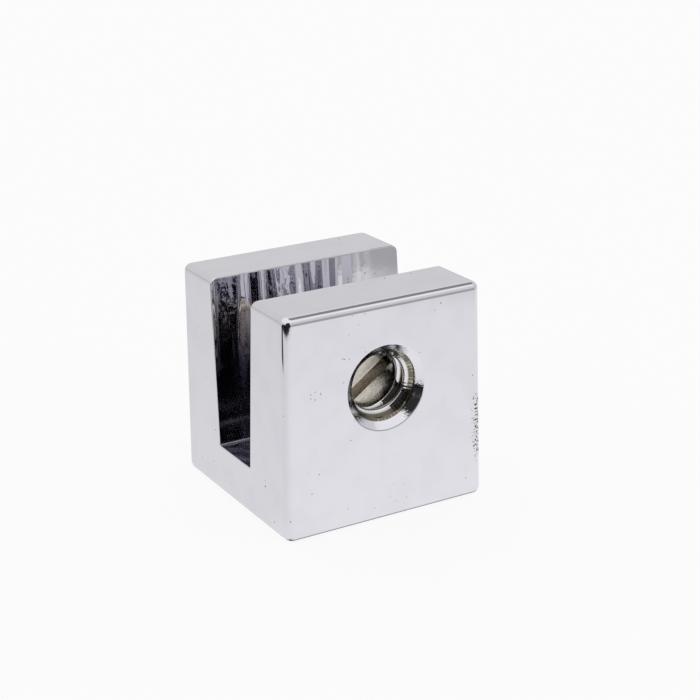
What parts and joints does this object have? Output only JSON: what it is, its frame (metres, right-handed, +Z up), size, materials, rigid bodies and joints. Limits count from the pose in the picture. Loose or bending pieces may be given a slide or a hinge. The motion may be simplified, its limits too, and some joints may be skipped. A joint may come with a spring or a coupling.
{
  "type": "glass panel clamp",
  "caption": "Chrome-plated cube-shaped clamp with a slot for the edge of a glass panel and a slotted set screw through one cheek that presses the panel against the other.",
  "frame": {"origin": "centre of the base, on the surface that the block stands on", "axes": "+Z up out of the slot's open mouth, X along the slot, +Y the way the set screw advances, from the front face with the tapped hole towards the back cheek"},
  "size_m": [0.0194, 0.0194, 0.0194],
  "materials": {
    "chrome_plate": "polished",
    "nickel_screw": "satin"
  },
  "bodies": {
    "block": {"clamp_block": "chrome_plate"},
    "screw": {"set_screw": "nickel_screw"}
  },
  "joints": [
    {"name": "screw_travel", "type": "slide", "parent": "block", "child": "screw", "axis": [0, 1, 0], "range_m": [-0.00889, 0.00254]}
  ]
}
